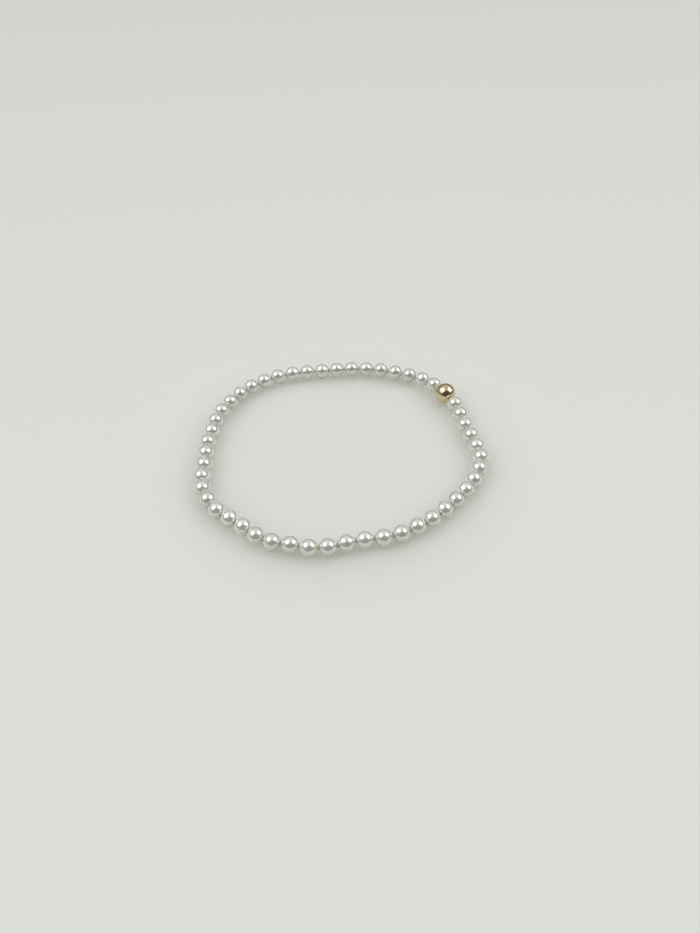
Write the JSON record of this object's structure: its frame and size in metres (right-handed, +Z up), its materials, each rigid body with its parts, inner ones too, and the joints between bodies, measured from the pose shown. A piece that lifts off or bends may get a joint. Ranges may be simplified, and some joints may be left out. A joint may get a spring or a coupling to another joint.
{
  "type": "pearl bracelet",
  "caption": "Stretch bracelet of small round pearls with one larger polished gold ball, strung on clear elastic and lying open in a rounded loop.",
  "frame": {"origin": "on the surface that the bracelet lies on, under the middle of the loop", "axes": "+Z up from the surface, +X to the right across the loop and +Y to the back, as the picture shows it"},
  "size_m": [0.0542, 0.0524, 0.0041],
  "materials": {
    "pearl": "high-lustre nacre, silvery white",
    "gold": "polished yellow gold plating",
    "elastic": "clear stretch cord, slightly cloudy"
  },
  "bodies": {
    "root": {"pearl_string": "pearl", "gold_bead": "gold"}
  },
  "joints": []
}
